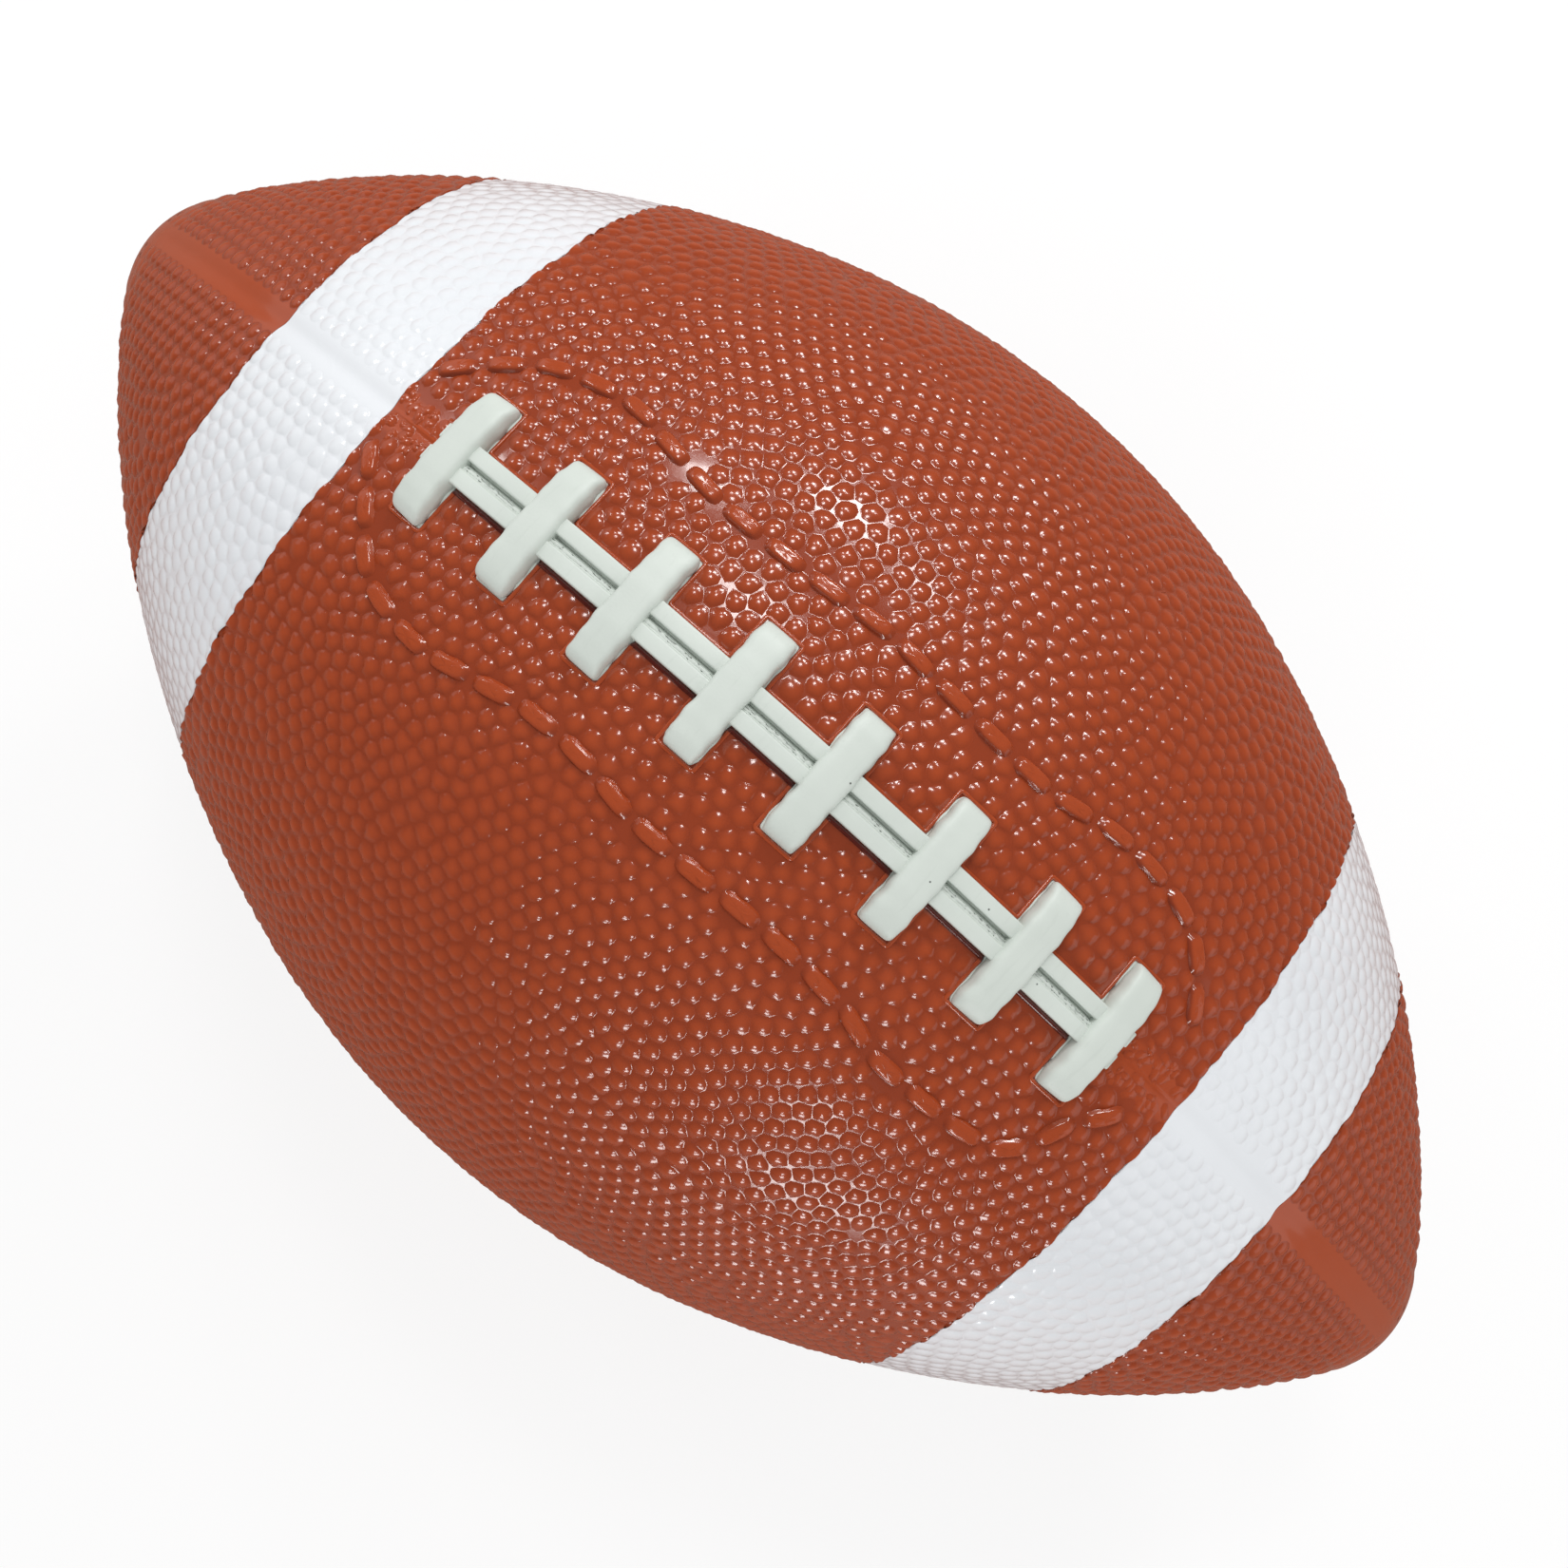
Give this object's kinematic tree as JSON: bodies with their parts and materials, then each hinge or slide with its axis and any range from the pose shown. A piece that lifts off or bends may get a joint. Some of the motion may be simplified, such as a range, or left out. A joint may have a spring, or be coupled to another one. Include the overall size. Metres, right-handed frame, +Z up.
{
  "type": "american football",
  "caption": "Moulded rubber american football: pebbled brown cover in quarter panels with white end stripes, a moulded lace over the top seam and a needle valve below.",
  "frame": {"origin": "middle of the ball, on its long axis at mid length", "axes": "+X along the ball to its front end, +Z up through the lace, +Y to the left"},
  "size_m": [0.285, 0.1672, 0.1705],
  "materials": {
    "cover_rubber": "satin",
    "stripe_rubber": "satin",
    "lace_rubber": "satin",
    "bladder_rubber": "matte",
    "winding_nylon": "matte",
    "valve_rubber": "matte",
    "plug_rubber": "matte"
  },
  "bodies": {
    "root": {"bladder": "bladder_rubber", "lace": "lace_rubber", "nylon_winding": "winding_nylon", "panel_lower_left": "cover_rubber", "panel_lower_right": "cover_rubber", "panel_upper_left": "cover_rubber", "panel_upper_right": "cover_rubber", "stripe_front_lower_left": "stripe_rubber", "stripe_front_lower_right": "stripe_rubber", "stripe_front_upper_left": "stripe_rubber", "stripe_front_upper_right": "stripe_rubber", "stripe_rear_lower_left": "stripe_rubber", "stripe_rear_lower_right": "stripe_rubber", "stripe_rear_upper_left": "stripe_rubber", "stripe_rear_upper_right": "stripe_rubber", "valve_housing": "valve_rubber", "valve_plug": "plug_rubber"}
  },
  "joints": []
}
